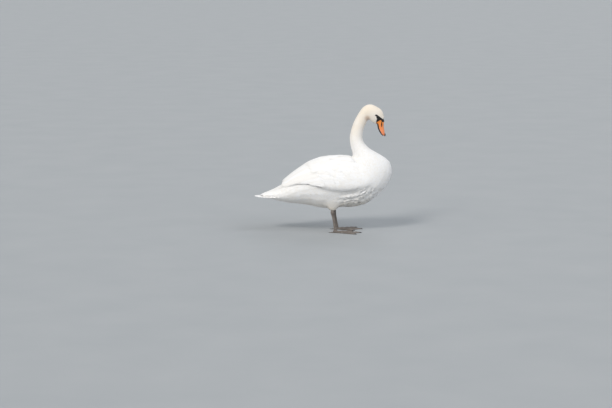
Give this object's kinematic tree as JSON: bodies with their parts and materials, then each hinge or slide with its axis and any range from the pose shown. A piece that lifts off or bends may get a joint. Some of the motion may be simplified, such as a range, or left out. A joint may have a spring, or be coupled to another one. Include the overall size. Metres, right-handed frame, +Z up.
{
  "type": "mute swan",
  "caption": "Life-size still model of an adult mute swan standing with folded wings, its neck in an S bend and its bill pointing down.",
  "frame": {"origin": "on the floor, under the middle of the bird's length and between its two wings", "axes": "+X the way the bird faces, +Y its left side, +Z up"},
  "size_m": [0.7588, 0.284, 0.7018],
  "materials": {
    "plumage": "smooth white feathers, matt",
    "cream_plumage": "short cream white feathers, matt",
    "bill": "orange horny sheath, satin",
    "black_skin": "black skin and horn, satin",
    "eye": "dark brown, wet and glossy",
    "leg": "dark grey brown scaly skin",
    "claw": "dark horn, satin"
  },
  "bodies": {
    "root": {"trunk": "plumage", "tail": "plumage", "neck_lower": "plumage", "neck_upper": "cream_plumage", "head": "cream_plumage", "wing_left": "plumage", "wing_right": "plumage", "wing_tip_left": "plumage", "wing_tip_right": "plumage", "thigh_left": "plumage", "thigh_right": "plumage", "eye_left": "eye", "eye_right": "eye", "bill_upper": "bill", "bill_lower": "black_skin", "bill_nail": "black_skin", "knob": "black_skin", "shank_left": "leg", "shank_right": "leg", "foot_left": "leg", "foot_right": "leg", "claw_inner_left": "claw", "claw_inner_right": "claw", "claw_middle_left": "claw", "claw_middle_right": "claw", "claw_outer_left": "claw", "claw_outer_right": "claw", "claw_hind_left": "claw", "claw_hind_right": "claw"}
  },
  "joints": []
}
